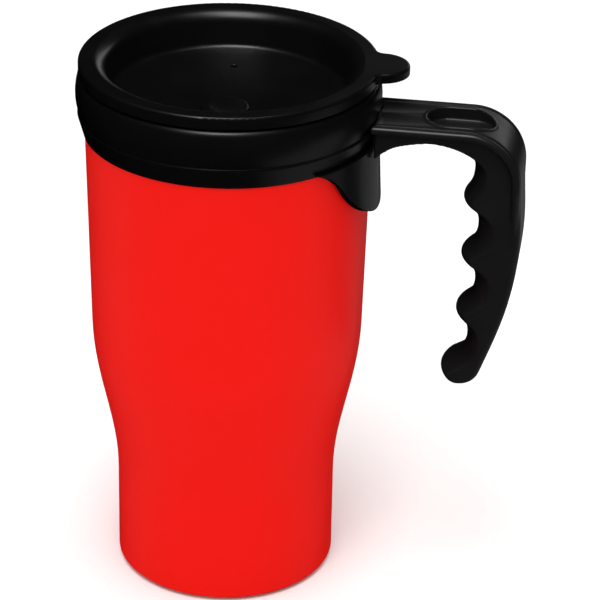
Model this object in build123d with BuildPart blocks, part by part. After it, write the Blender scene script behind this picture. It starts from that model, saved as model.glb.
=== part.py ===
"""Insulated travel mug with a waisted double wall, a side handle and a press-in lid with a thumb slide.

Frame: millimetres, +Z up, origin at the centre of the base on the mug's axis, +X towards the handle.
The lid is drawn in its own plane, turned about Z, with its thumb tab along that plane's x direction
and its drinking side along the plane's -y direction.
"""

import os

from build123d import *

os.makedirs("parts", exist_ok=True)

# ---- Double wall: heights of the outline, and the outer radius at each ----
foot_proud = 0.8  # how far the non-slip pad stands below the steel
foot_corner = 1.4
foot_radius = 34.0
waist_foot_z = 30.0
waist_mid = (37.95, 58.0)
waist_top_z = 83.0
waist_top_radius = 41.6
rim_radius = 43.0
rim_z = 146.0  # above this height the shell is a plain cylinder inside the collar
shell_top_z = 159.5
steel = 0.6  # sheet thickness of the shell and the liner

# ---- Liner ----
liner_inset = 4.0  # from the shell's outside to the liner's outside
liner_floor_z = 8.0
liner_corner = 5.0
mouth_radius = 39.6
mouth_step_high_z = 148.0
liner_lip_z = 165.0
liner_lip_radius = 42.4

# ---- Base ----
seam_rim_radius = 31.0  # inner edge of the shell's turned-in foot
base_flange_radius = 31.7
pad_radius = 29.2
pad_thickness = 2.2
gap = 0.1  # assembly gap between pieces that don't move

# ---- Collar ----
collar_low_z = 146.3
collar_low_radius = 43.5
shoulder = (45.0, 151.8)
shoulder_mid = (45.12, 152.4)
crease = (44.75, 153.0)
band_mid = (45.6, 156.8)
band_top = (45.25, 162.4)
collar_top_z = 164.5
collar_top_radius = 43.8
seat_z = 163.4  # the seat that carries the liner's lip and its seal
seat_radius = 42.7
web_radius = 40.35  # inside of the web between shell and liner
web_low_z = 156.0
o_ring_z = 158.0
o_ring_cord = 0.65  # radius of the cord
o_ring_groove = 1.3

# ---- Tongue of the collar that backs the handle ----
tongue_tip_z = 125.3
tongue_arc_radius = 28.0
tongue_side = (24.0, 138.9)
tongue_root = (33.0, 147.6)
tongue_top_z = 147.2
tongue_top_radius = 45.2
tongue_tip_radius = 46.2
tongue_tip_inner = 42.65
tongue_edge = 1.2

# ---- Handle, drawn in the XZ plane ----
root_x = 43.9
root_radius = 45.7  # the root is hollowed to this radius, to follow the collar
arm_top_z = 155.1
corner_x = 72.3
corner_radius = 16.5
side_half = 10.0
back_mid = (89.45, 124.0)
back_low = (86.3, 97.0)
back_end = (79.2, 75.3)
grip_axis_x = 88.0  # the finger side is turned about this vertical line
finger_pitch = 18.65
ridge_share = 0.53  # how far down from a groove to the ridge below it
first_groove_z = 141.0
groove_x = (74.4, 76.2, 76.0, 74.5)
ridge_x = (71.4, 71.4, 70.6)
arch = ((44.0, 143.8), (48.6, 147.6), (54.0, 149.4), (61.0, 150.2))
groove_pull = 0.74  # how far each groove and ridge holds its depth, as a share of the drop to the next
ridge_pull = 0.22
bulb_side = (66.8, 73.9)
bulb_bottom = (73.0, 70.95)
bulb_pull = 0.55  # fullness of the curve between the two
bulb_overrun = 0.5  # how far the turned curve runs on past the bulb's underside, to cut it cleanly
bulb_clear_x = 62.0
side_round = 1.4
bulb_corner_length = 7.0  # shorter edges of the side outline are cut away later
flute_width = 9.2  # two shallow flutes run side by side along the arm, and fade out beside the recess
flute_depth = 0.4
flute_length = 26.0
bead_radius = 1.3
bead_y = 10.9
bead_bend_z = 137.0
bead_end = (8.4, 121.0)  # y and z where the bead has sunk into the handle's side
recess_x = (59.5, 79.7)
recess_width = 13.6
recess_depth = 3.6
recess_lip = 0.7

# ---- Joint between collar and handle ----
boss_half_width = 8.0
boss_z = (150.5, 153.9)
boss_x = (43.7, 55.0)
screw_x = 50.5
screw_spacing = 10.0
screw_radius = 1.4
screw_head_radius = 2.5
screw_head_z = (147.9, 149.4)
screw_tip_z = 153.4
driver_reach = 20.0  # the screws' holes run down this far, to open under the arm
screw_drive = (2.6, 0.6)
screw_drive_depth = 0.9

# ---- Lid ----
lid_angle = 5.5  # degrees from the handle to the thumb tab
flange_radius = 44.75
flange_z = (165.1, 168.8)
brow_radius = 40.8  # where the flat top starts to roll into the well
brow_drop = 4.3
well_floor_radius = 35.6
well_floor_z = 157.6
floor_thickness = 2.0
floor_corner = 1.8
plug_radius = 38.9
plug_low_z = 148.6
skirt_radius = 35.1
seal_groove_z = (150.6, 154.0)
seal_groove_radius = 37.1
seal_lip_radius = 39.5
tab_radius = 8.6
tab_x = 45.0
tab_thickness = 3.0
tab_blend = 3.0
flange_round = 0.9
drink_r = 30.0
drink_length = 14.0
drink_width = 6.4
vent_r = 20.5
vent_radius = 1.0

# ---- Thumb slide ----
slide_travel = 9.0
button_r = 17.5
button_radius = 7.1
button_height = 3.2
button_lift = 0.15
button_edge = 0.5
dish_depth = 0.5  # a shallow dish in the button's top for the thumb
dish_radius = 26.0
barb_height = 0.9
barb_reach = 0.4
barb_taper = 10
stem_width = 4.6
stem_length = 5.4
stem_play = 0.2
plate_half_width = 11.0
plate_end_radius = 34.75
plate_inner_r = -2.5
plate_z = (153.6, 155.45)
pad_depth = 0.9
pad_margin = 0.85
rail_gap = 0.25
rail_width = 1.8
rail_lip = 1.2
rail_low_z = 151.9
rail_lip_top_z = 153.4
rail_ends = (-14.0, 31.5)

lid_plane = Plane.XY.rotated((0, 0, lid_angle))


def wall_line(inset, low_z, high_z):
    """Adds the wall's outline from low_z to high_z, moved in by inset, to the line being built."""
    start = (foot_radius - inset, waist_foot_z)
    middle = (waist_mid[0] - inset, waist_mid[1])
    end = (waist_top_radius - inset, waist_top_z)
    rim = (rim_radius - inset, rim_z)
    taper = (rim[0] - end[0], rim[1] - end[1])
    if low_z < waist_foot_z:
        Line((start[0], low_z), start)
    Spline(start, middle, end, tangents=[(0, 1), taper])
    Line(end, rim)
    if high_z > rim_z:
        Line(rim, (rim[0], high_z))


# ================= Double wall =================

with BuildPart() as outer_shell:
    with BuildSketch(Plane.XZ):
        with BuildLine():
            corner_z = foot_proud + foot_corner
            inner_radius = foot_radius - steel
            wall_line(0, corner_z, shell_top_z)
            wall_line(steel, corner_z, shell_top_z)
            Line((rim_radius - steel, shell_top_z), (rim_radius, shell_top_z))
            RadiusArc((foot_radius, corner_z), (foot_radius - foot_corner, foot_proud), foot_corner)
            RadiusArc(
                (inner_radius, corner_z),
                (foot_radius - foot_corner, foot_proud + steel),
                foot_corner - steel,
            )
            Line((foot_radius - foot_corner, foot_proud), (seam_rim_radius, foot_proud))
            Line((seam_rim_radius, foot_proud), (seam_rim_radius, foot_proud + steel))
            Line(
                (seam_rim_radius, foot_proud + steel),
                (foot_radius - foot_corner, foot_proud + steel),
            )
        make_face()
    revolve(axis=Axis.Z)

with BuildPart() as inner_liner:
    liner_low_z = liner_floor_z - steel
    corner_out = liner_corner + steel
    wall_out = foot_radius - liner_inset
    wall_in = wall_out - steel
    with BuildSketch(Plane.XZ):
        with BuildLine():
            wall_line(liner_inset, liner_floor_z + liner_corner, rim_z)
            wall_line(liner_inset + steel, liner_floor_z + liner_corner, rim_z)
            RadiusArc(
                (wall_out, liner_floor_z + liner_corner),
                (wall_out - corner_out, liner_low_z),
                corner_out,
            )
            RadiusArc(
                (wall_in, liner_floor_z + liner_corner),
                (wall_in - liner_corner, liner_floor_z),
                liner_corner,
            )
            Line((wall_out - corner_out, liner_low_z), (0, liner_low_z))
            Line((0, liner_low_z), (0, liner_floor_z))
            Line((0, liner_floor_z), (wall_in - liner_corner, liner_floor_z))
            mouth_out = mouth_radius + steel
            Polyline(
                (rim_radius - liner_inset, rim_z),
                (mouth_out, mouth_step_high_z),
                (mouth_out, liner_lip_z - steel),
                (liner_lip_radius, liner_lip_z - steel),
                (liner_lip_radius, liner_lip_z),
                (mouth_radius, liner_lip_z),
                (mouth_radius, mouth_step_high_z),
                (rim_radius - liner_inset - steel, rim_z),
            )
        make_face()
    revolve(axis=Axis.Z)
    fillet(inner_liner.edges().filter_by(GeomType.CIRCLE).group_by(Axis.Z)[-1], steel / 3)

with BuildPart() as insulation_sleeve:
    sleeve_low_z = liner_low_z + gap
    with BuildSketch(Plane.XZ):
        with BuildLine():
            wall_line(steel + gap, sleeve_low_z, rim_z)
            wall_line(liner_inset - gap, sleeve_low_z, rim_z)
            sleeve_top_z = web_low_z - 5 * gap
            sleeve_out = rim_radius - steel - gap
            sleeve_in = mouth_radius + steel + gap
            Polyline(
                (sleeve_out, rim_z),
                (sleeve_out, sleeve_top_z),
                (sleeve_in, sleeve_top_z),
                (sleeve_in, mouth_step_high_z - gap),
                (rim_radius - liner_inset + gap, rim_z),
            )
            Line(
                (foot_radius - steel - gap, sleeve_low_z),
                (foot_radius - liner_inset + gap, sleeve_low_z),
            )
        make_face()
    revolve(axis=Axis.Z)

with BuildPart() as insulation_disc:
    disc_low_z = foot_proud + steel + 3 * gap + pad_thickness / 2
    with BuildSketch(Plane.XY.offset(disc_low_z)):
        Circle(foot_radius - steel - gap)
    extrude(amount=liner_low_z - gap - disc_low_z)
    fillet(insulation_disc.edges().group_by(Axis.Z)[0], foot_corner - steel)

with BuildPart() as base_cap:
    flange_low_z = foot_proud + steel + gap / 2
    cup_radius = pad_radius + gap + steel
    with BuildSketch(Plane.XZ):
        with BuildLine():
            Polyline(
                (0, pad_thickness + gap / 2),
                (pad_radius + gap, pad_thickness + gap / 2),
                (pad_radius + gap, flange_low_z),
                (base_flange_radius, flange_low_z),
                (base_flange_radius, flange_low_z + steel / 2),
                (cup_radius, flange_low_z + steel / 2),
                (cup_radius, pad_thickness + gap / 2 + steel / 2),
                (0, pad_thickness + gap / 2 + steel / 2),
                close=True,
            )
        make_face()
    revolve(axis=Axis.Z)

with BuildPart() as base_pad:
    with BuildSketch():
        Circle(pad_radius)
    extrude(amount=pad_thickness)
    fillet(base_pad.edges().group_by(Axis.Z)[0], foot_proud / 2)
    with BuildSketch():
        for ring in range(3):
            ring_radius = pad_radius * (0.35 + 0.2 * ring)
            Circle(ring_radius + 0.6)
            Circle(ring_radius - 0.6, mode=Mode.SUBTRACT)
    extrude(amount=foot_proud / 2, mode=Mode.SUBTRACT)


# ================= Collar and its seals =================

# The tongue is a thick ring that widens downwards, cut to the tongue's outline as seen along X.
with BuildPart() as tongue:
    with BuildSketch(Plane.XZ):
        with BuildLine():
            Polyline(
                (rim_radius + gap, tongue_top_z),
                (tongue_top_radius, tongue_top_z),
                (tongue_tip_radius, tongue_tip_z),
                (tongue_tip_inner, tongue_tip_z),
                close=True,
            )
        make_face()
    revolve(axis=Axis.Z)
    with BuildSketch(Plane.YZ):
        with BuildLine():
            rise = tongue_tip_z + tongue_arc_radius - tongue_side[1]
            for hand in (-1, 1):
                Spline(
                    (hand * tongue_root[0], tongue_root[1]),
                    (hand * tongue_side[0], tongue_side[1]),
                    tangents=[(-hand, -0.4), (-hand * rise, -tongue_side[0])],
                )
            ThreePointArc(
                (-tongue_side[0], tongue_side[1]),
                (0, tongue_tip_z),
                (tongue_side[0], tongue_side[1]),
            )
            Line((-tongue_root[0], tongue_root[1]), tongue_root)
        make_face()
    extrude(amount=2 * rim_radius, mode=Mode.INTERSECT)
    tongue_face = tongue.faces().sort_by(SortBy.AREA)[-1]
    fillet(tongue_face.edges(), tongue_edge)

with BuildPart() as collar:
    shell_groove_in = rim_radius - steel - gap
    shell_groove_out = rim_radius + gap
    groove_low = o_ring_z - o_ring_cord - gap
    groove_high = o_ring_z + o_ring_cord + gap
    with BuildSketch(Plane.XZ):
        with BuildLine():
            Line((shell_groove_out, collar_low_z), (collar_low_radius, collar_low_z))
            Line((collar_low_radius, collar_low_z), shoulder)
            ThreePointArc(shoulder, shoulder_mid, crease)
            ThreePointArc(crease, band_mid, band_top)
            TangentArc(band_top, (collar_top_radius, collar_top_z), tangent=(-0.1, 1))
            Polyline(
                (collar_top_radius, collar_top_z),
                (seat_radius, collar_top_z),
                (seat_radius, seat_z),
                (web_radius, seat_z),
                (web_radius, web_low_z),
                (shell_groove_in, web_low_z),
                (shell_groove_in, groove_low),
                (shell_groove_in - o_ring_groove, groove_low),
                (shell_groove_in - o_ring_groove, groove_high),
                (shell_groove_in, groove_high),
                (shell_groove_in, shell_top_z + 5 * gap),
                (shell_groove_out, shell_top_z + 5 * gap),
                (shell_groove_out, collar_low_z),
            )
        make_face()
    revolve(axis=Axis.Z)
    add(tongue.part)
    boss_mid_z = (boss_z[0] + boss_z[1]) / 2
    with BuildSketch(Plane(origin=(boss_x[0], 0, boss_mid_z), x_dir=(0, 1, 0), z_dir=(1, 0, 0))):
        RectangleRounded(2 * boss_half_width, boss_z[1] - boss_z[0], 0.6)
    extrude(amount=boss_x[1] - boss_x[0])
    with BuildSketch(Plane.XY.offset(boss_z[0])):
        with GridLocations(0, screw_spacing, 1, 2):
            with Locations((screw_x, 0)):
                Circle(screw_radius + gap / 2)
    extrude(amount=boss_z[1] - boss_z[0], mode=Mode.SUBTRACT)

with BuildPart() as collar_o_ring:
    with BuildSketch(Plane.XZ):
        with Locations((shell_groove_in - o_ring_cord, o_ring_z)):
            Circle(o_ring_cord)
    revolve(axis=Axis.Z)

with BuildPart() as liner_gasket:
    with BuildSketch(Plane.XY.offset(seat_z + gap / 2)):
        Circle(seat_radius - 2 * gap)
        Circle(mouth_radius + steel + gap, mode=Mode.SUBTRACT)
    extrude(amount=liner_lip_z - steel - seat_z - gap)


# ================= Handle =================


def arm_outline(grow):
    """Adds the top of the arm and its corner, moved out by grow, to the line being built."""
    Line((root_x, arm_top_z + grow), (corner_x, arm_top_z + grow))
    TangentArc(
        (corner_x, arm_top_z + grow),
        (corner_x + corner_radius + grow, arm_top_z - corner_radius),
        tangent=(1, 0),
    )


# The underside of the arm and the finger side of the grip are one turned surface.
with BuildPart() as finger_turning:
    turning_points = []
    for step, groove in enumerate(groove_x):
        groove_z = first_groove_z - step * finger_pitch
        turning_points.append((groove, groove_z, groove_pull))
        if step < len(ridge_x):
            turning_points.append((ridge_x[step], groove_z - ridge_share * finger_pitch, ridge_pull))
    turning_points.append((*bulb_side, ridge_pull / 2))
    with BuildSketch(Plane.XZ):
        with BuildLine():
            first_groove = (groove_x[0], first_groove_z)
            arch_start = (arch[1][0] - arch[0][0], arch[1][1] - arch[0][1])
            Spline(*arch, first_groove, tangents=[arch_start, (0, -1)], tangent_scalars=[1, 1])
            for (x1, z1, pull_1), (x2, z2, pull_2) in zip(turning_points, turning_points[1:]):
                drop = z1 - z2
                Bezier((x1, z1), (x1, z1 - pull_1 * drop), (x2, z2 + pull_2 * drop), (x2, z2))
            turned_end = (bulb_bottom[0] + bulb_overrun, bulb_bottom[1] - bulb_overrun)
            Bezier(
                bulb_side,
                (bulb_side[0], bulb_side[1] - bulb_pull * (bulb_side[1] - turned_end[1])),
                (turned_end[0] - bulb_pull * (turned_end[0] - bulb_side[0]), turned_end[1]),
                turned_end,
            )
            Polyline(
                turned_end,
                (grip_axis_x, turned_end[1] - 1),
                (grip_axis_x, arm_top_z + corner_radius),
                (arch[0][0], arm_top_z + corner_radius),
                arch[0],
            )
        make_face()
    revolve(axis=Axis((grip_axis_x, 0, 0), (0, 0, 1)))

with BuildPart() as recess_rim:
    with BuildSketch(Plane.XZ):
        with BuildLine():
            arm_outline(recess_lip / 2)
            Polyline(
                (corner_x + corner_radius + recess_lip / 2, arm_top_z - corner_radius),
                (root_x, arm_top_z - corner_radius),
                (root_x, arm_top_z + recess_lip / 2),
            )
        make_face()
    extrude(amount=side_half, both=True)
    recess_mid_x = (recess_x[0] + recess_x[1]) / 2
    recess_length = recess_x[1] - recess_x[0]
    with BuildSketch(Plane.XY.offset(arm_top_z - recess_depth)):
        with Locations((recess_mid_x, 0)):
            SlotOverall(recess_length + 2 * recess_lip, recess_width + 2 * recess_lip)
            SlotOverall(recess_length, recess_width, mode=Mode.SUBTRACT)
    extrude(amount=2 * recess_depth, mode=Mode.INTERSECT)

with BuildPart() as handle:
    with BuildSketch(Plane.XZ):
        with BuildLine():
            arm_outline(0)
            Spline(
                (corner_x + corner_radius, arm_top_z - corner_radius),
                back_mid,
                back_low,
                back_end,
                tangents=[(0, -1), (-0.36, -1)],
            )
            TangentArc(back_end, bulb_bottom, tangent=(-0.36, -1))
            Polyline(
                bulb_bottom,
                (bulb_clear_x, bulb_bottom[1] - 1),
                (bulb_clear_x, arch[0][1] - 1),
                (root_x, arch[0][1] - 1),
                (root_x, arm_top_z),
            )
        make_face()
    extrude(amount=side_half, both=True)
    rims = handle.faces().filter_by(Axis.Y).edges()
    fillet(rims.filter_by(lambda edge: edge.length > bulb_corner_length), side_round)
    add(finger_turning.part, mode=Mode.INTERSECT)
    for hand in (-1, 1):
        bead_plane = Plane.XZ.offset(hand * bead_y)
        with BuildLine(bead_plane) as bead_path:
            bead_top_z = arm_top_z - bead_radius
            bead_turn = corner_radius - bead_radius
            Line((root_x, bead_top_z), (corner_x, bead_top_z))
            CenterArc((corner_x, bead_top_z - bead_turn), bead_turn, 90, -90)
            Line(
                (corner_x + bead_turn, bead_top_z - bead_turn),
                (corner_x + bead_turn, bead_bend_z),
            )
        with BuildSketch(bead_path.line ^ 0):
            Circle(bead_radius)
        sweep()
        bead_bend = (corner_x + bead_turn, -hand * bead_y, bead_bend_z)
        with Locations(bead_bend):
            Sphere(bead_radius)
        with BuildLine() as sinking_path:
            Line(bead_bend, (corner_x + bead_turn, -hand * bead_end[0], bead_end[1]))
        with BuildSketch(sinking_path.line ^ 0):
            Circle(bead_radius)
        sweep()
    flute_radius = flute_width**2 / (8 * flute_depth)
    flute_middle_z = arm_top_z + flute_radius - flute_depth
    with Locations(Plane(origin=(root_x, 0, flute_middle_z), x_dir=(0, 1, 0), z_dir=(1, 0, 0))):
        with GridLocations(flute_width, 0, 2, 1):
            Cone(
                flute_radius,
                flute_radius - flute_depth,
                flute_length,
                align=(Align.CENTER, Align.CENTER, Align.MIN),
                mode=Mode.SUBTRACT,
            )
    add(recess_rim.part)
    with BuildSketch():
        Circle(root_radius)
    extrude(amount=arm_top_z + corner_radius, mode=Mode.SUBTRACT)
    with BuildSketch(Plane.XY.offset(arm_top_z - recess_depth)):
        with Locations((recess_mid_x, 0)):
            SlotOverall(recess_length, recess_width)
    extrude(amount=2 * recess_depth, mode=Mode.SUBTRACT)
    pocket_height = boss_z[1] - boss_z[0] + gap
    with BuildSketch(Plane(origin=(root_x, 0, boss_mid_z), x_dir=(0, 1, 0), z_dir=(1, 0, 0))):
        RectangleRounded(2 * boss_half_width + gap, pocket_height, 0.6)
    extrude(amount=boss_x[1] + gap - root_x, mode=Mode.SUBTRACT)
    with BuildSketch(Plane.XY.offset(boss_mid_z)):
        with GridLocations(0, screw_spacing, 1, 2):
            with Locations((screw_x, 0)):
                Circle(screw_radius + gap)
    extrude(amount=-driver_reach, mode=Mode.SUBTRACT)
    with BuildSketch(Plane.XY.offset(screw_head_z[1] + gap / 2)):
        with GridLocations(0, screw_spacing, 1, 2):
            with Locations((screw_x, 0)):
                Circle(screw_head_radius + gap)
    extrude(amount=-driver_reach, mode=Mode.SUBTRACT)

with BuildPart() as handle_screws:
    with GridLocations(0, screw_spacing, 1, 2):
        with Locations((screw_x, 0, screw_head_z[0])):
            Cylinder(
                screw_head_radius,
                screw_head_z[1] - screw_head_z[0],
                align=(Align.CENTER, Align.CENTER, Align.MIN),
            )
            Cylinder(
                screw_radius,
                screw_tip_z - screw_head_z[0],
                align=(Align.CENTER, Align.CENTER, Align.MIN),
            )
    fillet(handle_screws.edges().group_by(Axis.Z)[0], screw_drive_depth / 2)
    with BuildSketch(Plane.XY.offset(screw_head_z[0])):
        with GridLocations(0, screw_spacing, 1, 2):
            with Locations((screw_x, 0)):
                Rectangle(screw_drive[0], screw_drive[1])
                Rectangle(screw_drive[1], screw_drive[0])
    extrude(amount=screw_drive_depth, mode=Mode.SUBTRACT)


# ================= Lid =================

with BuildPart() as lid_body:
    with BuildSketch(Plane.XZ):
        with BuildLine():
            floor_low_z = well_floor_z - floor_thickness
            brow = (brow_radius, flange_z[1])
            well_top = (brow_radius - brow_drop, flange_z[1] - brow_drop)
            Line((0, well_floor_z), (well_floor_radius - floor_corner, well_floor_z))
            TangentArc(
                (well_floor_radius - floor_corner, well_floor_z),
                (well_floor_radius, well_floor_z + floor_corner),
                tangent=(1, 0),
            )
            Line((well_floor_radius, well_floor_z + floor_corner), well_top)
            CenterArc((brow_radius, flange_z[1] - brow_drop), brow_drop, 90, 90)
            Polyline(
                brow,
                (flange_radius, flange_z[1]),
                (flange_radius, flange_z[0]),
                (plug_radius, flange_z[0]),
                (plug_radius, seal_groove_z[1]),
                (seal_groove_radius, seal_groove_z[1]),
                (seal_groove_radius, seal_groove_z[0]),
                (plug_radius, seal_groove_z[0]),
                (plug_radius, plug_low_z),
                (skirt_radius, plug_low_z),
                (skirt_radius, floor_low_z),
                (0, floor_low_z),
                (0, well_floor_z),
            )
        make_face()
    revolve(axis=Axis.Z)
    with BuildSketch(lid_plane.offset(flange_z[1] - tab_thickness)) as tab_sketch:
        Circle(flange_radius)
        with Locations((tab_x, 0)):
            Circle(tab_radius)
        junctions = tab_sketch.vertices().filter_by(lambda corner: corner.X > flange_radius / 2)
        fillet(junctions, tab_blend)
        Circle(brow_radius + gap, mode=Mode.SUBTRACT)
    extrude(amount=tab_thickness)
    fillet(lid_body.faces().sort_by(Axis.Z)[-1].outer_wire().edges(), flange_round)
    # Rails under the floor that guide the slide's plate.
    for hand in (-1, 1):
        with BuildSketch(lid_plane.offset(rail_low_z)):
            rail_mid = (rail_ends[0] + rail_ends[1]) / 2
            with Locations((hand * (plate_half_width + rail_gap + rail_width / 2), -rail_mid)):
                Rectangle(rail_width, rail_ends[1] - rail_ends[0])
        extrude(amount=floor_low_z - rail_low_z)
        with BuildSketch(lid_plane.offset(rail_low_z)):
            with Locations((hand * (plate_half_width + rail_gap - rail_lip / 2), -rail_mid)):
                Rectangle(rail_lip, rail_ends[1] - rail_ends[0])
        extrude(amount=rail_lip_top_z - rail_low_z)
    slot_inner_r = button_r - slide_travel
    with BuildSketch(lid_plane.offset(floor_low_z)):
        with Locations((0, -drink_r)):
            SlotOverall(drink_length, drink_width)
        with Locations((0, -(button_r + slot_inner_r) / 2)):
            SlotOverall(
                slide_travel + stem_length + 2 * stem_play,
                stem_width + 2 * stem_play,
                rotation=90,
            )
        with Locations((0, vent_r)):
            Circle(vent_radius)
    extrude(amount=floor_thickness, mode=Mode.SUBTRACT)

with BuildPart() as lid_gasket:
    with BuildSketch(Plane.XZ):
        with BuildLine():
            low, high = seal_groove_z[0] + 1.5 * gap, seal_groove_z[1] - 1.5 * gap
            inner, outer = seal_groove_radius + gap, plug_radius - 4 * gap
            fin = (high - low) / 3
            Polyline(
                (inner, low),
                (outer, low),
                (seal_lip_radius, low + fin),
                (outer, low + 1.3 * fin),
                (outer, high - 1.3 * fin),
                (seal_lip_radius, high - fin / 2),
                (outer, high),
                (inner, high),
                close=True,
            )
        make_face()
    revolve(axis=Axis.Z)


# ================= Thumb slide =================

with BuildPart() as slider_button:
    button_base_z = well_floor_z + button_lift
    button_top_z = button_base_z + button_height
    with BuildSketch(lid_plane.offset(button_base_z)):
        with Locations((0, -button_r)):
            Circle(button_radius)
    extrude(amount=button_height)
    fillet(slider_button.edges().sort_by(Axis.Z)[-1], button_edge)
    with Locations(lid_plane):
        with Locations((0, -button_r, button_top_z + dish_radius - dish_depth)):
            Sphere(dish_radius, mode=Mode.SUBTRACT)
    stem_base_z = plate_z[0] - barb_height
    with BuildSketch(lid_plane.offset(plate_z[0] - gap / 2)):
        with Locations((0, -button_r)):
            SlotOverall(stem_length, stem_width, rotation=90)
    extrude(amount=button_base_z - plate_z[0] + gap)
    with BuildSketch(lid_plane.offset(stem_base_z - gap / 2)):
        with Locations((0, -button_r)):
            SlotOverall(stem_length + 2 * barb_reach, stem_width + 2 * barb_reach, rotation=90)
    extrude(amount=barb_height, taper=-barb_taper)

with BuildPart() as slider_plate:
    with BuildSketch(lid_plane.offset(plate_z[0])):
        plate_mid = (plate_inner_r + plate_end_radius) / 2
        with Locations((0, -plate_mid)):
            Rectangle(2 * plate_half_width, plate_end_radius - plate_inner_r)
        Circle(plate_end_radius, mode=Mode.INTERSECT)
    extrude(amount=plate_z[1] - plate_z[0])
    with BuildSketch(lid_plane.offset(plate_z[0])):
        with Locations((0, -button_r)):
            SlotOverall(stem_length + gap, stem_width + gap, rotation=90)
    extrude(amount=plate_z[1] - plate_z[0], mode=Mode.SUBTRACT)
    with BuildSketch(lid_plane.offset(plate_z[1] - pad_depth)):
        with Locations((0, -drink_r)):
            SlotOverall(drink_length + 2 * pad_margin, drink_width + 2 * pad_margin)
    extrude(amount=pad_depth, mode=Mode.SUBTRACT)

with BuildPart() as slider_seal:
    with BuildSketch(lid_plane.offset(plate_z[1] - pad_depth + gap / 2)):
        with Locations((0, -drink_r)):
            SlotOverall(drink_length + 2 * pad_margin - gap, drink_width + 2 * pad_margin - gap)
    extrude(amount=pad_depth)


# ================= Named sub-parts =================

pieces = {
    "outer_shell": outer_shell,
    "inner_liner": inner_liner,
    "insulation_sleeve": insulation_sleeve,
    "insulation_disc": insulation_disc,
    "base_cap": base_cap,
    "base_pad": base_pad,
    "collar": collar,
    "collar_o_ring": collar_o_ring,
    "liner_gasket": liner_gasket,
    "handle": handle,
    "handle_screws": handle_screws,
    "lid_body": lid_body,
    "lid_gasket": lid_gasket,
    "slider_button": slider_button,
    "slider_plate": slider_plate,
    "slider_seal": slider_seal,
}
for name, piece in pieces.items():
    piece.part.label = name
    export_step(piece.part, f"parts/{name}.step")
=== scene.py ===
"""Looks of an insulated travel mug, laid out as an add-on and run as a script.

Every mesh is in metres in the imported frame: +Z up, the origin at the centre of the base, +X towards
the handle.
"""

import math

import bmesh
import bpy
from bpy.props import FloatProperty, FloatVectorProperty, IntProperty, PointerProperty
from mathutils import Matrix, Vector
from mathutils.bvhtree import BVHTree


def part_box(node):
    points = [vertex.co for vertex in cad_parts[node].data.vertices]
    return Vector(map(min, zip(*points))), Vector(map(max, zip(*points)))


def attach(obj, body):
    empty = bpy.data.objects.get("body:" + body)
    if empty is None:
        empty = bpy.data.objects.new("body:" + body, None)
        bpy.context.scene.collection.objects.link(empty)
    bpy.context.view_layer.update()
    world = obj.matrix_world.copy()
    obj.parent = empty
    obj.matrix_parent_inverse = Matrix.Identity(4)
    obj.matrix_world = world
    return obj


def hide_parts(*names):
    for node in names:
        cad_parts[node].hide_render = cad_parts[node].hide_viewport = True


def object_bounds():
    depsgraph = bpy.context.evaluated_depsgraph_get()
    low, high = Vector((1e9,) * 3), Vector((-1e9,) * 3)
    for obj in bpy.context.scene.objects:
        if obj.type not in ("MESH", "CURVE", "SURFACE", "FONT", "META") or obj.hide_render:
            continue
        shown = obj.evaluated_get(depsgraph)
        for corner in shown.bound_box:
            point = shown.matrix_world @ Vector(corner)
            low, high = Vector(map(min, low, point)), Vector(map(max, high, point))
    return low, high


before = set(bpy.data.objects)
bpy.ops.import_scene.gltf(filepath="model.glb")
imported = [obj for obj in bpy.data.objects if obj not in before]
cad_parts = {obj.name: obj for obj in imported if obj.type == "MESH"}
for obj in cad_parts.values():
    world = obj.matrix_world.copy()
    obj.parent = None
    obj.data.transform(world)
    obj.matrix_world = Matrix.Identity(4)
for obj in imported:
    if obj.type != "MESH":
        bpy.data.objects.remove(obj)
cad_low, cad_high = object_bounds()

bl_info = {
    "name": "Travel mug",
    "version": (1, 0, 0),
    "blender": (4, 5, 0),
    "location": "View3D > Sidebar > Travel mug",
    "description": "Builds the meshes, finishes and studio of an insulated travel mug",
    "category": "Object",
}

MM = 0.001
JOIN = 0.002 * MM  # triangle corners closer than this are one corner
SLIVER = JOIN / 4  # shorter edges are dropped, and a corner this close to a cut lies on it
FLAT = math.radians(1.0)  # faces that turn less than this are one face
SHARP = math.radians(50.0)  # edges that turn more than this are eased
SMOOTH = math.radians(50.0)  # edges that turn less than this are shaded smooth
FULL_TURN = 2 * math.pi
CORNER_SHARE = 0.4  # the most that a rounded corner takes of the shorter edge beside it
ARM_DEPTH = 9 * MM  # from the top of the handle's arm to where its finger side starts
NOISE_LOW, NOISE_HIGH = 0.3, 0.7  # most of a noise pattern lies between these

# Each lamp's place from the middle of the mug and its width and height, in metres. The low card's
# place is from the point on the floor below that middle.
KEY_PLACE, KEY_SIZE = (-0.35, -1.5, 0.9), (1.4, 1.4)
OVERHEAD_PLACE, OVERHEAD_SIZE = (-0.05, -0.4, 1.2), (0.5, 0.9)
REAR_PLACE, REAR_SIZE = (0.35, 1.3, 0.3), (0.9, 0.18)
CARD_PLACE, CARD_SIZE = (0.28, 0.15, 0.002), (0.4, 0.6)
SKY_PLACE, SKY_SIZE = (0.3, 0.3, 1.7), (2.6, 2.6)
UP, BACK = (0, 0, 1), (0, 1, 0)
FLOOR_REACH = 4.0  # half the floor's width, in metres


def linear(hex_code):
    """The linear RGBA that Blender's sockets take, from an sRGB hex value."""
    channels = [int(hex_code[place:place + 2], 16) / 255 for place in (1, 3, 5)]
    bent = [c / 12.92 if c <= 0.04045 else ((c + 0.055) / 1.055) ** 2.4 for c in channels]
    return (*bent, 1.0)


# ---------------------------------------------------------------- settings


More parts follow.
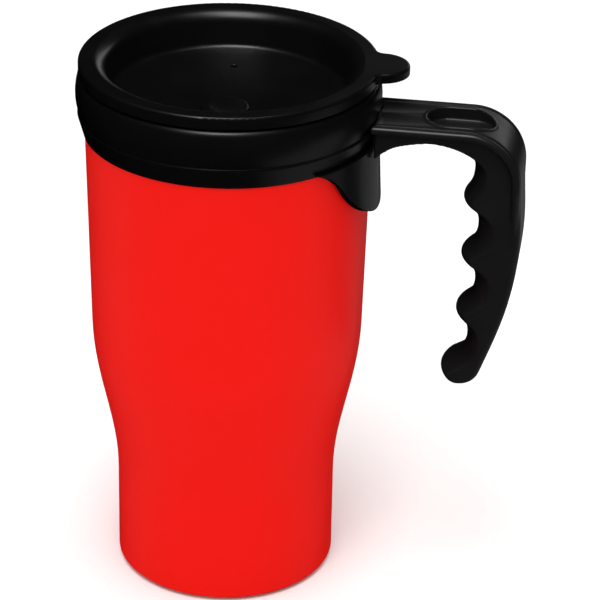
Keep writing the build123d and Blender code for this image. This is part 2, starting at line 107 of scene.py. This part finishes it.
class MugSizes(bpy.types.PropertyGroup):
    """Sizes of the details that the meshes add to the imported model."""

    turn_steps: IntProperty(
        name="Turning steps",
        description="Faces round a turned piece",
        default=160,
        min=24,
    )
    metal_edge: FloatProperty(
        name="Sheet edge",
        description="Radius on the cut edges of the steel sheet and the foam",
        default=0.15 * MM,
        unit="LENGTH",
    )
    plastic_edge: FloatProperty(
        name="Moulded edge",
        description="Radius on the lid's sharp edges",
        default=0.22 * MM,
        unit="LENGTH",
    )
    thin_edge: FloatProperty(
        name="Thin edge",
        description="Radius on the edges of the collar, the slide and the screws",
        default=0.12 * MM,
        unit="LENGTH",
    )
    rubber_edge: FloatProperty(
        name="Rubber edge",
        description="Radius on the edges of the rubber and silicone parts",
        default=0.2 * MM,
        unit="LENGTH",
    )
    grip_voxel: FloatProperty(
        name="Grip mesh size",
        description="Size of the handle's faces",
        default=0.36 * MM,
        unit="LENGTH",
    )
    grip_rounds: IntProperty(
        name="Grip softening",
        description="Rounds of smoothing below the handle's arm",
        default=4,
        min=0,
    )


class MugColours(bpy.types.PropertyGroup):
    """Colours of the finishes."""

    enamel: FloatVectorProperty(
        name="Enamel",
        description="Stoved enamel on the outer shell",
        subtype="COLOR",
        size=4,
        min=0,
        max=1,
        default=linear("#E9150E"),
    )
    plastic: FloatVectorProperty(
        name="Moulded plastic",
        description="Black polypropylene of the collar, lid and slide",
        subtype="COLOR",
        size=4,
        min=0,
        max=1,
        default=linear("#060607"),
    )
    # Paler than the collar's plastic: painted sheen, standing in for the floor's reflection on the handle's
    # flat sides.
    grip: FloatVectorProperty(
        name="Handle plastic",
        description="Black polypropylene of the handle",
        subtype="COLOR",
        size=4,
        min=0,
        max=1,
        default=linear("#101011"),
    )
    steel: FloatVectorProperty(
        name="Stainless steel",
        description="Liner, base cap and screws",
        subtype="COLOR",
        size=4,
        min=0,
        max=1,
        default=linear("#CCCAC6"),
    )
    rubber: FloatVectorProperty(
        name="Rubber",
        description="Non-slip pad",
        subtype="COLOR",
        size=4,
        min=0,
        max=1,
        default=linear("#2A2A2B"),
    )
    silicone: FloatVectorProperty(
        name="Silicone",
        description="Seals",
        subtype="COLOR",
        size=4,
        min=0,
        max=1,
        default=linear("#C9CAC6"),
    )
    foam: FloatVectorProperty(
        name="Foam",
        description="Insulation in the double wall",
        subtype="COLOR",
        size=4,
        min=0,
        max=1,
        default=linear("#EDE6D3"),
    )
    floor: FloatVectorProperty(
        name="Floor",
        description="Pale studio floor",
        subtype="COLOR",
        size=4,
        min=0,
        max=1,
        default=linear("#FBFBFA"),
    )


class MugStudio(bpy.types.PropertyGroup):
    """Light levels and the camera's lens."""

    key: FloatProperty(
        name="Key light",
        description="Power of the large lamp at the front left, which glossy surfaces don't see",
        default=3.4,
        unit="POWER",
    )
    overhead: FloatProperty(
        name="Overhead light",
        description="Power of the softbox above",
        default=10.0,
        unit="POWER",
    )
    rear: FloatProperty(
        name="Rear card",
        description="Power of the low card behind, which only glossy surfaces see",
        default=0.8,
        unit="POWER",
    )
    card: FloatProperty(
        name="Low card",
        description="Power of the card on the floor, which only glossy surfaces see",
        default=0.15,
        unit="POWER",
    )
    sky: FloatProperty(
        name="Sky panel",
        description="Power of the wide panel above, which lights the floor and no glossy surface sees",
        default=16.0,
        unit="POWER",
    )
    fill: FloatProperty(
        name="Fill",
        description="Strength of the light from all round",
        default=0.55,
    )
    lens: FloatProperty(
        name="Lens",
        description="The camera's focal length in millimetres",
        default=175.0,
        subtype="DISTANCE_CAMERA",
    )


# ---------------------------------------------------------------- meshes


def joined(node):
    """A copy of a CAD node's loose triangles, joined into one skin."""
    solid = bmesh.new()
    solid.from_mesh(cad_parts[node].data)
    bmesh.ops.remove_doubles(solid, verts=solid.verts, dist=JOIN)
    return solid


def eased(node, radius):
    """A joined copy of a CAD node with its sharp edges rounded."""
    solid = joined(node)
    bmesh.ops.dissolve_limit(solid, angle_limit=FLAT, verts=solid.verts, edges=solid.edges)
    solid.normal_update()
    surface = BVHTree.FromBMesh(solid)
    sharp = [edge for edge in solid.edges if edge.calc_face_angle(0) > SHARP]
    bmesh.ops.bevel(
        solid,
        geom=sharp,
        offset=radius,
        offset_type="OFFSET",
        segments=2,
        profile=0.5,
        affect="EDGES",
        clamp_overlap=False,
        material=-1,
    )
    # Where a sharp edge fades out, the rounding can overshoot: such corners go back to the surface.
    for corner in solid.verts:
        nearest, _, _, away = surface.find_nearest(corner.co)
        if away > radius:
            corner.co = nearest
    bmesh.ops.dissolve_degenerate(solid, edges=solid.edges, dist=SLIVER)
    return solid


def half_section(node):
    """The outline of a turned CAD node on the handle's side of its axis, as a chain of edges."""
    solid = joined(node)
    # The first cut leaves a corner on the axis of every face that crosses it.
    bmesh.ops.bisect_plane(
        solid,
        geom=solid.verts[:] + solid.edges[:] + solid.faces[:],
        dist=SLIVER,
        plane_co=(0, 0, 0),
        plane_no=(1, 0, 0),
        clear_inner=True,
    )
    cut = bmesh.ops.bisect_plane(
        solid,
        geom=solid.verts[:] + solid.edges[:] + solid.faces[:],
        dist=SLIVER,
        plane_co=(0, 0, 0),
        plane_no=(0, 1, 0),
    )["geom_cut"]
    outline = {edge for edge in cut if isinstance(edge, bmesh.types.BMEdge)}
    bmesh.ops.delete(solid, geom=solid.faces[:], context="FACES_ONLY")
    rest = [edge for edge in solid.edges if edge not in outline]
    bmesh.ops.delete(solid, geom=rest, context="EDGES")
    loose = [corner for corner in solid.verts if not corner.link_edges]
    bmesh.ops.delete(solid, geom=loose, context="VERTS")
    return solid


def turned(node, radius, steps):
    """A turned piece: the CAD node's outline with its corners rounded, spun about the axis."""
    solid = half_section(node)
    corners = []
    for corner in solid.verts:
        if len(corner.link_edges) != 2:
            continue
        ways = [edge.other_vert(corner).co - corner.co for edge in corner.link_edges]
        if math.pi - ways[0].angle(ways[1]) > SHARP:
            corners.append((corner, min(radius, CORNER_SHARE * min(way.length for way in ways))))
    for corner, reach in corners:
        bmesh.ops.bevel(
            solid,
            geom=[corner],
            offset=reach,
            offset_type="OFFSET",
            segments=3,
            profile=0.5,
            affect="VERTICES",
            material=-1,
        )
    bmesh.ops.spin(
        solid,
        geom=solid.verts[:] + solid.edges[:],
        cent=(0, 0, 0),
        axis=(0, 0, 1),
        dvec=(0, 0, 0),
        angle=FULL_TURN,
        steps=steps,
        use_merge=True,
        use_duplicate=False,
    )
    bmesh.ops.remove_doubles(solid, verts=solid.verts, dist=JOIN)
    bmesh.ops.recalc_face_normals(solid, faces=solid.faces)
    return solid


def make_piece(name, solid, node, material, body):
    """Makes an object of a mesh that stands for a CAD node, and lets it ride on that node's body."""
    if not solid.faces:
        raise RuntimeError(f"{name} has no faces")
    mesh = bpy.data.meshes.new(name)
    solid.to_mesh(mesh)
    solid.free()
    mesh.shade_smooth()
    mesh.set_sharp_from_angle(angle=SMOOTH)
    mesh.materials.append(material)
    piece = bpy.data.objects.new(name, mesh)
    bpy.context.scene.collection.objects.link(piece)
    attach(piece, body)
    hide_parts(node)
    return piece


def even_shading(piece):
    """Keeps the wide faces of a piece flat to the eye beside its small rounded edges."""
    weighting = piece.modifiers.new("Even shading", "WEIGHTED_NORMAL")
    weighting.keep_sharp = True


# ---------------------------------------------------------------- finishes


def add_node(tree, kind, inputs=None, **settings):
    """Adds a node; inputs hold a value or the output that feeds each named socket."""
    made = tree.nodes.new(kind)
    for name, value in settings.items():
        setattr(made, name, value)
    for socket, value in (inputs or {}).items():
        if isinstance(value, bpy.types.NodeSocket):
            tree.links.new(value, made.inputs[socket])
        else:
            made.inputs[socket].default_value = value
    return made


def start_material(name):
    """A new material with its node tree, its shader and its object coordinates."""
    material = bpy.data.materials.get(name)
    if material:
        bpy.data.materials.remove(material)
    material = bpy.data.materials.new(name)
    material.use_nodes = True
    tree = material.node_tree
    shader = tree.nodes["Principled BSDF"]
    place = add_node(tree, "ShaderNodeTexCoord").outputs["Object"]
    return material, tree, shader, place


def stoved_enamel():
    """Stoved enamel sprayed on sheet steel: a deep, even colour, satin, with a faint orange peel."""
    material, tree, shader, place = start_material("stoved_enamel")
    colour = bpy.context.scene.mug_colours.enamel
    cloud = add_node(
        tree, "ShaderNodeTexNoise", {"Vector": place, "Scale": 1 / (22 * MM), "Detail": 2.0}
    )
    deeper = [channel * 0.96 for channel in colour[:3]] + [1.0]
    tint = add_node(
        tree,
        "ShaderNodeMix",
        {"Factor": cloud.outputs["Fac"], "A": tuple(colour), "B": deeper},
        data_type="RGBA",
    )
    # Orange peel of a stoved coat is about a millimetre across and a few microns deep.
    peel = add_node(
        tree, "ShaderNodeTexNoise", {"Vector": place, "Scale": 1 / (1.5 * MM), "Detail": 0.0}
    )
    bump = add_node(
        tree, "ShaderNodeBump", {"Height": peel.outputs["Fac"], "Strength": 0.1, "Distance": 0.004 * MM}
    )
    handled = add_node(
        tree, "ShaderNodeTexNoise", {"Vector": place, "Scale": 1 / (18 * MM), "Detail": 2.0}
    )
    gloss = add_node(
        tree,
        "ShaderNodeMapRange",
        {
            "Value": handled.outputs["Fac"],
            "From Min": NOISE_LOW,
            "From Max": NOISE_HIGH,
            "To Min": 0.3,
            "To Max": 0.36,
        },
    )
    tree.links.new(tint.outputs["Result"], shader.inputs["Base Color"])
    tree.links.new(gloss.outputs["Result"], shader.inputs["Roughness"])
    tree.links.new(bump.outputs["Normal"], shader.inputs["Normal"])
    shader.inputs["IOR"].default_value = 1.5
    # A weak mirror: at the usual level the lamps lay a pale veil over the red.
    shader.inputs["Specular IOR Level"].default_value = 0.05
    return material


def moulded_polypropylene(name="moulded_polypropylene", shade="plastic", dull=0.0):
    """Black polypropylene from a semi-polished tool: satin gloss, a fine grain and faint flow marks.

    The handle's is the same plastic, duller, and painted a little paler as sheen for the floor's reflection.
    """
    material, tree, shader, place = start_material(name)
    colour = getattr(bpy.context.scene.mug_colours, shade)
    flow = add_node(
        tree,
        "ShaderNodeTexNoise",
        {"Vector": place, "Scale": 1 / (14 * MM), "Detail": 3.0, "Distortion": 0.6},
    )
    paler = [channel * 1.5 for channel in colour[:3]] + [1.0]
    tint = add_node(
        tree,
        "ShaderNodeMix",
        {"Factor": flow.outputs["Fac"], "A": tuple(colour), "B": paler},
        data_type="RGBA",
    )
    # The tool's spark-eroded grain is about 0.1 mm: it is drawn at 0.3 mm so that it shows.
    grain = add_node(
        tree, "ShaderNodeTexNoise", {"Vector": place, "Scale": 1 / (0.3 * MM), "Detail": 2.0}
    )
    bump = add_node(
        tree, "ShaderNodeBump", {"Height": grain.outputs["Fac"], "Strength": 0.3, "Distance": 0.01 * MM}
    )
    gloss = add_node(
        tree,
        "ShaderNodeMapRange",
        {
            "Value": flow.outputs["Fac"],
            "From Min": NOISE_LOW,
            "From Max": NOISE_HIGH,
            "To Min": 0.27 + dull,
            "To Max": 0.35 + dull,
        },
    )
    tree.links.new(tint.outputs["Result"], shader.inputs["Base Color"])
    tree.links.new(gloss.outputs["Result"], shader.inputs["Roughness"])
    tree.links.new(bump.outputs["Normal"], shader.inputs["Normal"])
    shader.inputs["IOR"].default_value = 1.49
    return material


def matt_polypropylene():
    """Matt polypropylene of the sliding plate: the same plastic from a blasted tool, so it slides dry."""
    material, tree, shader, place = start_material("matt_polypropylene")
    colour = bpy.context.scene.mug_colours.plastic
    # Blasted texture of about 0.2 mm, drawn at 0.5 mm so that it shows.
    grain = add_node(
        tree, "ShaderNodeTexVoronoi", {"Vector": place, "Scale": 1 / (0.5 * MM)}
    )
    bump = add_node(
        tree, "ShaderNodeBump", {"Height": grain.outputs["Distance"], "Strength": 0.4, "Distance": 0.03 * MM}
    )
    rubbed = add_node(
        tree, "ShaderNodeTexNoise", {"Vector": place, "Scale": 1 / (5 * MM), "Detail": 3.0}
    )
    gloss = add_node(
        tree,
        "ShaderNodeMapRange",
        {
            "Value": rubbed.outputs["Fac"],
            "From Min": NOISE_LOW,
            "From Max": NOISE_HIGH,
            "To Min": 0.42,
            "To Max": 0.6,
        },
    )
    paler = [channel * 1.8 for channel in colour[:3]] + [1.0]
    tint = add_node(
        tree,
        "ShaderNodeMix",
        {"Factor": rubbed.outputs["Fac"], "A": tuple(colour), "B": paler},
        data_type="RGBA",
    )
    tree.links.new(tint.outputs["Result"], shader.inputs["Base Color"])
    tree.links.new(gloss.outputs["Result"], shader.inputs["Roughness"])
    tree.links.new(bump.outputs["Normal"], shader.inputs["Normal"])
    return material


def spun_stainless():
    """Stainless steel spun and buffed on a lathe: fine rings round the axis stretch each highlight."""
    material, tree, shader, place = start_material("spun_stainless")
    colour = bpy.context.scene.mug_colours.steel
    split = add_node(tree, "ShaderNodeSeparateXYZ", {"Vector": place})
    flat = add_node(
        tree, "ShaderNodeCombineXYZ", {"X": split.outputs["X"], "Y": split.outputs["Y"]}
    )
    radius = add_node(tree, "ShaderNodeVectorMath", {"Vector": flat.outputs["Vector"]}, operation="LENGTH")
    rings = add_node(
        tree, "ShaderNodeCombineXYZ", {"X": radius.outputs["Value"], "Z": split.outputs["Z"]}
    )
    # Buffing lines are about 0.1 mm apart: they are drawn at 0.4 mm so that they show.
    lines = add_node(
        tree,
        "ShaderNodeTexNoise",
        {"Vector": rings.outputs["Vector"], "Scale": 1 / (0.4 * MM), "Detail": 3.0, "Roughness": 0.7},
    )
    bump = add_node(
        tree, "ShaderNodeBump", {"Height": lines.outputs["Fac"], "Strength": 0.35, "Distance": 0.02 * MM}
    )
    stains = add_node(
        tree, "ShaderNodeTexNoise", {"Vector": place, "Scale": 1 / (16 * MM), "Detail": 3.0}
    )
    gloss = add_node(
        tree,
        "ShaderNodeMapRange",
        {
            "Value": stains.outputs["Fac"],
            "From Min": NOISE_LOW,
            "From Max": NOISE_HIGH,
            "To Min": 0.22,
            "To Max": 0.34,
        },
    )
    duller = [channel * 0.82 for channel in colour[:3]] + [1.0]
    tint = add_node(
        tree,
        "ShaderNodeMix",
        {"Factor": lines.outputs["Fac"], "A": tuple(colour), "B": duller},
        data_type="RGBA",
    )
    tree.links.new(tint.outputs["Result"], shader.inputs["Base Color"])
    tree.links.new(gloss.outputs["Result"], shader.inputs["Roughness"])
    tree.links.new(bump.outputs["Normal"], shader.inputs["Normal"])
    shader.inputs["Metallic"].default_value = 1.0
    return material


def plated_steel():
    """Zinc-plated steel of the screws: bright and slightly blue, with the grain of barrel plating."""
    material, tree, shader, place = start_material("plated_steel")
    colour = bpy.context.scene.mug_colours.steel
    grain = add_node(
        tree, "ShaderNodeTexNoise", {"Vector": place, "Scale": 1 / (0.6 * MM), "Detail": 4.0}
    )
    bump = add_node(
        tree, "ShaderNodeBump", {"Height": grain.outputs["Fac"], "Strength": 0.3, "Distance": 0.02 * MM}
    )
    gloss = add_node(
        tree,
        "ShaderNodeMapRange",
        {
            "Value": grain.outputs["Fac"],
            "From Min": NOISE_LOW,
            "From Max": NOISE_HIGH,
            "To Min": 0.25,
            "To Max": 0.45,
        },
    )
    bluer = (colour[0] * 0.8, colour[1] * 0.86, colour[2] * 0.95, 1.0)
    tint = add_node(
        tree,
        "ShaderNodeMix",
        {"Factor": grain.outputs["Fac"], "A": tuple(colour), "B": bluer},
        data_type="RGBA",
    )
    tree.links.new(tint.outputs["Result"], shader.inputs["Base Color"])
    tree.links.new(gloss.outputs["Result"], shader.inputs["Roughness"])
    tree.links.new(bump.outputs["Normal"], shader.inputs["Normal"])
    shader.inputs["Metallic"].default_value = 1.0
    return material


def moulded_rubber():
    """Compression-moulded rubber of the non-slip pad: dark grey, dull, pitted and slightly dusty."""
    material, tree, shader, place = start_material("moulded_rubber")
    colour = bpy.context.scene.mug_colours.rubber
    pits = add_node(
        tree, "ShaderNodeTexVoronoi", {"Vector": place, "Scale": 1 / (0.8 * MM)}
    )
    bump = add_node(
        tree, "ShaderNodeBump", {"Height": pits.outputs["Distance"], "Strength": 0.5, "Distance": 0.06 * MM}
    )
    dust = add_node(
        tree, "ShaderNodeTexNoise", {"Vector": place, "Scale": 1 / (4 * MM), "Detail": 5.0}
    )
    dusty = [min(1.0, channel * 1.9 + 0.004) for channel in colour[:3]] + [1.0]
    tint = add_node(
        tree,
        "ShaderNodeMix",
        {"Factor": dust.outputs["Fac"], "A": tuple(colour), "B": dusty},
        data_type="RGBA",
    )
    tree.links.new(tint.outputs["Result"], shader.inputs["Base Color"])
    tree.links.new(bump.outputs["Normal"], shader.inputs["Normal"])
    shader.inputs["Roughness"].default_value = 0.82
    shader.inputs["IOR"].default_value = 1.52
    return material


def moulded_silicone():
    """Translucent silicone rubber of the seals: milky, soft in its highlights, with a faint mould grain."""
    material, tree, shader, place = start_material("moulded_silicone")
    colour = bpy.context.scene.mug_colours.silicone
    grain = add_node(
        tree, "ShaderNodeTexNoise", {"Vector": place, "Scale": 1 / (0.5 * MM), "Detail": 2.0}
    )
    bump = add_node(
        tree, "ShaderNodeBump", {"Height": grain.outputs["Fac"], "Strength": 0.2, "Distance": 0.02 * MM}
    )
    cloud = add_node(
        tree, "ShaderNodeTexNoise", {"Vector": place, "Scale": 1 / (6 * MM), "Detail": 2.0}
    )
    greyer = [channel * 0.85 for channel in colour[:3]] + [1.0]
    tint = add_node(
        tree,
        "ShaderNodeMix",
        {"Factor": cloud.outputs["Fac"], "A": tuple(colour), "B": greyer},
        data_type="RGBA",
    )
    tree.links.new(tint.outputs["Result"], shader.inputs["Base Color"])
    tree.links.new(bump.outputs["Normal"], shader.inputs["Normal"])
    shader.inputs["Roughness"].default_value = 0.48
    shader.inputs["IOR"].default_value = 1.41
    shader.inputs["Subsurface Weight"].default_value = 0.3
    shader.inputs["Subsurface Radius"].default_value = (1.2 * MM, 1.2 * MM, 1.1 * MM)
    shader.inputs["Subsurface Scale"].default_value = 1.0
    return material


def blown_foam():
    """Blown insulation foam: cream, dead matt, with open cells about a millimetre across."""
    material, tree, shader, place = start_material("blown_foam")
    colour = bpy.context.scene.mug_colours.foam
    cells = add_node(
        tree, "ShaderNodeTexVoronoi", {"Vector": place, "Scale": 1 / (1.2 * MM)}
    )
    bump = add_node(
        tree, "ShaderNodeBump", {"Height": cells.outputs["Distance"], "Strength": 0.8, "Distance": 0.2 * MM}
    )
    # The hollows of the open cells are drawn darker: painted shade.
    shaded = [channel * 0.75 for channel in colour[:3]] + [1.0]
    tint = add_node(
        tree,
        "ShaderNodeMix",
        {"Factor": cells.outputs["Distance"], "A": shaded, "B": tuple(colour)},
        data_type="RGBA",
    )
    tree.links.new(tint.outputs["Result"], shader.inputs["Base Color"])
    tree.links.new(bump.outputs["Normal"], shader.inputs["Normal"])
    shader.inputs["Roughness"].default_value = 0.95
    return material


# ---------------------------------------------------------------- operators


class MUG_OT_shell(bpy.types.Operator):
    """Builds the enamelled outer shell"""

    bl_idname = "mug.shell"
    bl_label = "Outer shell"

    def execute(self, context):
        sizes = context.scene.mug_sizes
        solid = turned("outer_shell", sizes.metal_edge, sizes.turn_steps)
        shell = make_piece("enamelled_shell", solid, "outer_shell", stoved_enamel(), "mug")
        even_shading(shell)
        # Glossy surfaces don't see the shell, so the black handle doesn't turn red beside it.
        shell.visible_glossy = False
        return {"FINISHED"}


class MUG_OT_steelwork(bpy.types.Operator):
    """Builds the steel liner and the base cap"""

    bl_idname = "mug.steelwork"
    bl_label = "Liner and base cap"

    def execute(self, context):
        sizes = context.scene.mug_sizes
        steel = spun_stainless()
        for name, node in (("spun_liner", "inner_liner"), ("pressed_base", "base_cap")):
            solid = turned(node, sizes.metal_edge, sizes.turn_steps)
            piece = make_piece(name, solid, node, steel, "mug")
            even_shading(piece)
        return {"FINISHED"}


class MUG_OT_insulation(bpy.types.Operator):
    """Builds the foam in the double wall"""

    bl_idname = "mug.insulation"
    bl_label = "Insulation"

    def execute(self, context):
        sizes = context.scene.mug_sizes
        foam = blown_foam()
        for name, node in (("foam_sleeve", "insulation_sleeve"), ("foam_disc", "insulation_disc")):
            solid = turned(node, sizes.metal_edge, sizes.turn_steps)
            piece = make_piece(name, solid, node, foam, "mug")
            even_shading(piece)
        return {"FINISHED"}


class MUG_OT_base_pad(bpy.types.Operator):
    """Builds the non-slip pad under the base"""

    bl_idname = "mug.base_pad"
    bl_label = "Base pad"

    def execute(self, context):
        sizes = context.scene.mug_sizes
        solid = turned("base_pad", sizes.rubber_edge, sizes.turn_steps)
        pad = make_piece("ringed_pad", solid, "base_pad", moulded_rubber(), "mug")
        even_shading(pad)
        return {"FINISHED"}


class MUG_OT_seals(bpy.types.Operator):
    """Builds the silicone seals"""

    bl_idname = "mug.seals"
    bl_label = "Seals"

    def execute(self, context):
        sizes = context.scene.mug_sizes
        silicone = moulded_silicone()
        rings = (
            ("collar_ring_seal", "collar_o_ring", "mug"),
            ("liner_lip_seal", "liner_gasket", "mug"),
            ("finned_lid_seal", "lid_gasket", "lid_seal"),
        )
        for name, node, body in rings:
            solid = turned(node, sizes.rubber_edge, sizes.turn_steps)
            piece = make_piece(name, solid, node, silicone, body)
            even_shading(piece)
        solid = eased("slider_seal", sizes.rubber_edge)
        piece = make_piece("drinking_hole_seal", solid, "slider_seal", silicone, "slider")
        even_shading(piece)
        return {"FINISHED"}


class MUG_OT_collar(bpy.types.Operator):
    """Builds the collar with its tongue and its boss"""

    bl_idname = "mug.collar"
    bl_label = "Collar"

    def execute(self, context):
        sizes = context.scene.mug_sizes
        solid = eased("collar", sizes.thin_edge)
        collar = make_piece("moulded_collar", solid, "collar", moulded_polypropylene(), "mug")
        even_shading(collar)
        return {"FINISHED"}


class MUG_OT_handle(bpy.types.Operator):
    """Builds the handle, with the edges of its finger side softened"""

    bl_idname = "mug.handle"
    bl_label = "Handle"

    def execute(self, context):
        sizes = context.scene.mug_sizes
        # The handle's paler colour is painted sheen, standing in for the light that its flat sides reflect.
        plastic = moulded_polypropylene("grip_polypropylene", "grip", dull=0.05)
        rough = make_piece("handle_block", joined("handle"), "handle", plastic, "mug")
        # Even faces let the smoothing soften every edge by the same width.
        remesh = rough.modifiers.new("Even faces", "REMESH")
        remesh.mode = "VOXEL"
        remesh.voxel_size = sizes.grip_voxel
        depsgraph = context.evaluated_depsgraph_get()
        even = bpy.data.meshes.new_from_object(rough.evaluated_get(depsgraph))
        bpy.data.objects.remove(rough)
        solid = bmesh.new()
        solid.from_mesh(even)
        bpy.data.meshes.remove(even)
        arm_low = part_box("handle")[1].z - ARM_DEPTH
        finger_side = [corner for corner in solid.verts if corner.co.z < arm_low]
        for _ in range(sizes.grip_rounds):
            bmesh.ops.smooth_vert(
                solid, verts=finger_side, factor=0.5, use_axis_x=True, use_axis_y=True, use_axis_z=True
            )
        handle = make_piece("moulded_handle", solid, "handle", plastic, "mug")
        return {"FINISHED"}


class MUG_OT_screws(bpy.types.Operator):
    """Builds the two screws under the handle's arm"""

    bl_idname = "mug.screws"
    bl_label = "Handle screws"

    def execute(self, context):
        sizes = context.scene.mug_sizes
        solid = eased("handle_screws", sizes.thin_edge)
        screws = make_piece("plated_screws", solid, "handle_screws", plated_steel(), "mug")
        even_shading(screws)
        return {"FINISHED"}


class MUG_OT_lid(bpy.types.Operator):
    """Builds the press-in lid with its thumb tab"""

    bl_idname = "mug.lid"
    bl_label = "Lid"

    def execute(self, context):
        sizes = context.scene.mug_sizes
        plastic = bpy.data.materials["moulded_polypropylene"]
        lid = make_piece("moulded_lid", eased("lid_body", sizes.plastic_edge), "lid_body", plastic, "lid")
        even_shading(lid)
        return {"FINISHED"}


class MUG_OT_slide(bpy.types.Operator):
    """Builds the thumb slide: its dished button and its plate"""

    bl_idname = "mug.slide"
    bl_label = "Thumb slide"

    def execute(self, context):
        sizes = context.scene.mug_sizes
        plastic = bpy.data.materials["moulded_polypropylene"]
        button = make_piece(
            "dished_button", eased("slider_button", sizes.thin_edge), "slider_button", plastic, "slider"
        )
        even_shading(button)
        matt = matt_polypropylene()
        plate = make_piece(
            "slide_plate", eased("slider_plate", sizes.thin_edge), "slider_plate", matt, "slider"
        )
        even_shading(plate)
        return {"FINISHED"}


class MUG_OT_studio(bpy.types.Operator):
    """Sets the pale floor, the soft lights and the camera"""

    bl_idname = "mug.studio"
    bl_label = "Studio"

    def execute(self, context):
        studio = context.scene.mug_studio
        middle = (cad_low + cad_high) / 2
        self.lay_floor(context)
        self.light_room(context, studio.fill)
        aim = Vector((middle.x, 0, middle.z))
        self.hang_lamp("key_lamp", aim, KEY_PLACE, KEY_SIZE, studio.key, glossy=False)
        self.hang_lamp(
            "overhead_softbox", aim, OVERHEAD_PLACE, OVERHEAD_SIZE, studio.overhead, upright=BACK
        )
        self.hang_lamp("rear_card", aim, REAR_PLACE, REAR_SIZE, studio.rear, diffuse=False)
        ground = Vector((aim.x, aim.y, 0))
        self.hang_lamp("low_card", ground, CARD_PLACE, CARD_SIZE, studio.card, diffuse=False, face=UP)
        self.hang_lamp("sky_panel", aim, SKY_PLACE, SKY_SIZE, studio.sky, glossy=False, upright=BACK)
        self.place_camera(context, studio.lens)
        return {"FINISHED"}

    def lay_floor(self, context):
        """A pale matt floor, wide enough for every view."""
        solid = bmesh.new()
        bmesh.ops.create_grid(solid, x_segments=8, y_segments=8, size=FLOOR_REACH)
        mesh = bpy.data.meshes.new("studio_floor")
        solid.to_mesh(mesh)
        solid.free()
        material, tree, shader, place = start_material("matt_paper")
        fibre = add_node(
            tree, "ShaderNodeTexNoise", {"Vector": place, "Scale": 1 / (3 * MM), "Detail": 3.0}
        )
        colour = context.scene.mug_colours.floor
        greyer = [channel * 0.99 for channel in colour[:3]] + [1.0]
        tint = add_node(
            tree,
            "ShaderNodeMix",
            {"Factor": fibre.outputs["Fac"], "A": tuple(colour), "B": greyer},
            data_type="RGBA",
        )
        tree.links.new(tint.outputs["Result"], shader.inputs["Base Color"])
        shader.inputs["Roughness"].default_value = 0.9
        shader.inputs["Specular IOR Level"].default_value = 0.2
        mesh.materials.append(material)
        floor = bpy.data.objects.new("studio_floor", mesh)
        context.scene.collection.objects.link(floor)
        # Glossy surfaces don't see the floor, so the black plastic stays dark where it faces down.
        floor.visible_glossy = False

    def light_room(self, context, fill):
        """White to the camera, soft to matt surfaces and unseen by glossy ones, as black flags make it."""
        world = bpy.data.worlds.new("studio_room")
        context.scene.world = world
        world.use_nodes = True
        tree = world.node_tree
        background = tree.nodes["Background"]
        path = add_node(tree, "ShaderNodeLightPath")
        level = add_node(
            tree,
            "ShaderNodeMix",
            {"Factor": path.outputs["Is Camera Ray"], "A": fill, "B": 1.0},
            data_type="FLOAT",
        )
        tree.links.new(level.outputs["Result"], background.inputs["Strength"])
        background.inputs["Color"].default_value = (1, 1, 1, 1)
        world.cycles_visibility.glossy = False

    def hang_lamp(
        self, name, aim, offset, size, power, glossy=True, diffuse=True, upright=UP, face=None
    ):
        """An area lamp at an offset from a point, turned to face it or to shine along face."""
        lamp = bpy.data.lights.new(name, "AREA")
        lamp.shape = "RECTANGLE"
        lamp.size, lamp.size_y = size
        lamp.energy = power
        holder = bpy.data.objects.new(name, lamp)
        bpy.context.scene.collection.objects.link(holder)
        behind = -Vector(face) if face else Vector(offset).normalized()
        right = Vector(BACK if face else upright).cross(behind).normalized()
        axes = Matrix((right, behind.cross(right), behind)).transposed()
        holder.matrix_world = Matrix.Translation(aim + Vector(offset)) @ axes.to_4x4()
        holder.visible_glossy = glossy
        holder.visible_diffuse = diffuse
        holder.visible_camera = False

    def place_camera(self, context, lens):
        """A long lens at the front, above the rim and a little towards the handle."""
        camera = bpy.data.objects.new("camera", bpy.data.cameras.new("camera"))
        context.scene.collection.objects.link(camera)
        camera.data.lens = lens
        camera.data.sensor_width = 36.0
        camera.data.clip_start = 0.05
        camera.data.clip_end = 50.0
        stand = Vector((133.4, -788.2, 500.6)) * MM
        aim = Vector((22.2, 3.1, 88.7)) * MM
        roll = 0.021  # radians
        turn = (aim - stand).to_track_quat("-Z", "Y").to_matrix()
        camera.matrix_world = Matrix.Translation(stand) @ (turn @ Matrix.Rotation(roll, 3, "Z")).to_4x4()
        context.scene.camera = camera
        context.scene.view_settings.view_transform = "Standard"


BUILDERS = (
    MUG_OT_shell,
    MUG_OT_steelwork,
    MUG_OT_insulation,
    MUG_OT_base_pad,
    MUG_OT_seals,
    MUG_OT_collar,
    MUG_OT_handle,
    MUG_OT_screws,
    MUG_OT_lid,
    MUG_OT_slide,
    MUG_OT_studio,
)


class MUG_PT_panel(bpy.types.Panel):
    """Lists the mug's builders and settings in the sidebar"""

    bl_label = "Travel mug"
    bl_idname = "MUG_PT_panel"
    bl_space_type = "VIEW_3D"
    bl_region_type = "UI"
    bl_category = "Travel mug"

    def draw(self, context):
        layout = self.layout
        for builder in BUILDERS:
            layout.operator(builder.bl_idname)
        for group in (context.scene.mug_sizes, context.scene.mug_colours, context.scene.mug_studio):
            box = layout.box()
            for name in group.__annotations__:
                box.prop(group, name)


CLASSES = (MugSizes, MugColours, MugStudio, *BUILDERS, MUG_PT_panel)


def register():
    for entry in CLASSES:
        bpy.utils.register_class(entry)
    bpy.types.Scene.mug_sizes = PointerProperty(type=MugSizes)
    bpy.types.Scene.mug_colours = PointerProperty(type=MugColours)
    bpy.types.Scene.mug_studio = PointerProperty(type=MugStudio)


def unregister():
    del bpy.types.Scene.mug_studio
    del bpy.types.Scene.mug_colours
    del bpy.types.Scene.mug_sizes
    for entry in reversed(CLASSES):
        bpy.utils.unregister_class(entry)


def main():
    register()
    for builder in BUILDERS:
        group, name = builder.bl_idname.split(".")
        getattr(getattr(bpy.ops, group), name)()


if __name__ == "__main__":
    main()
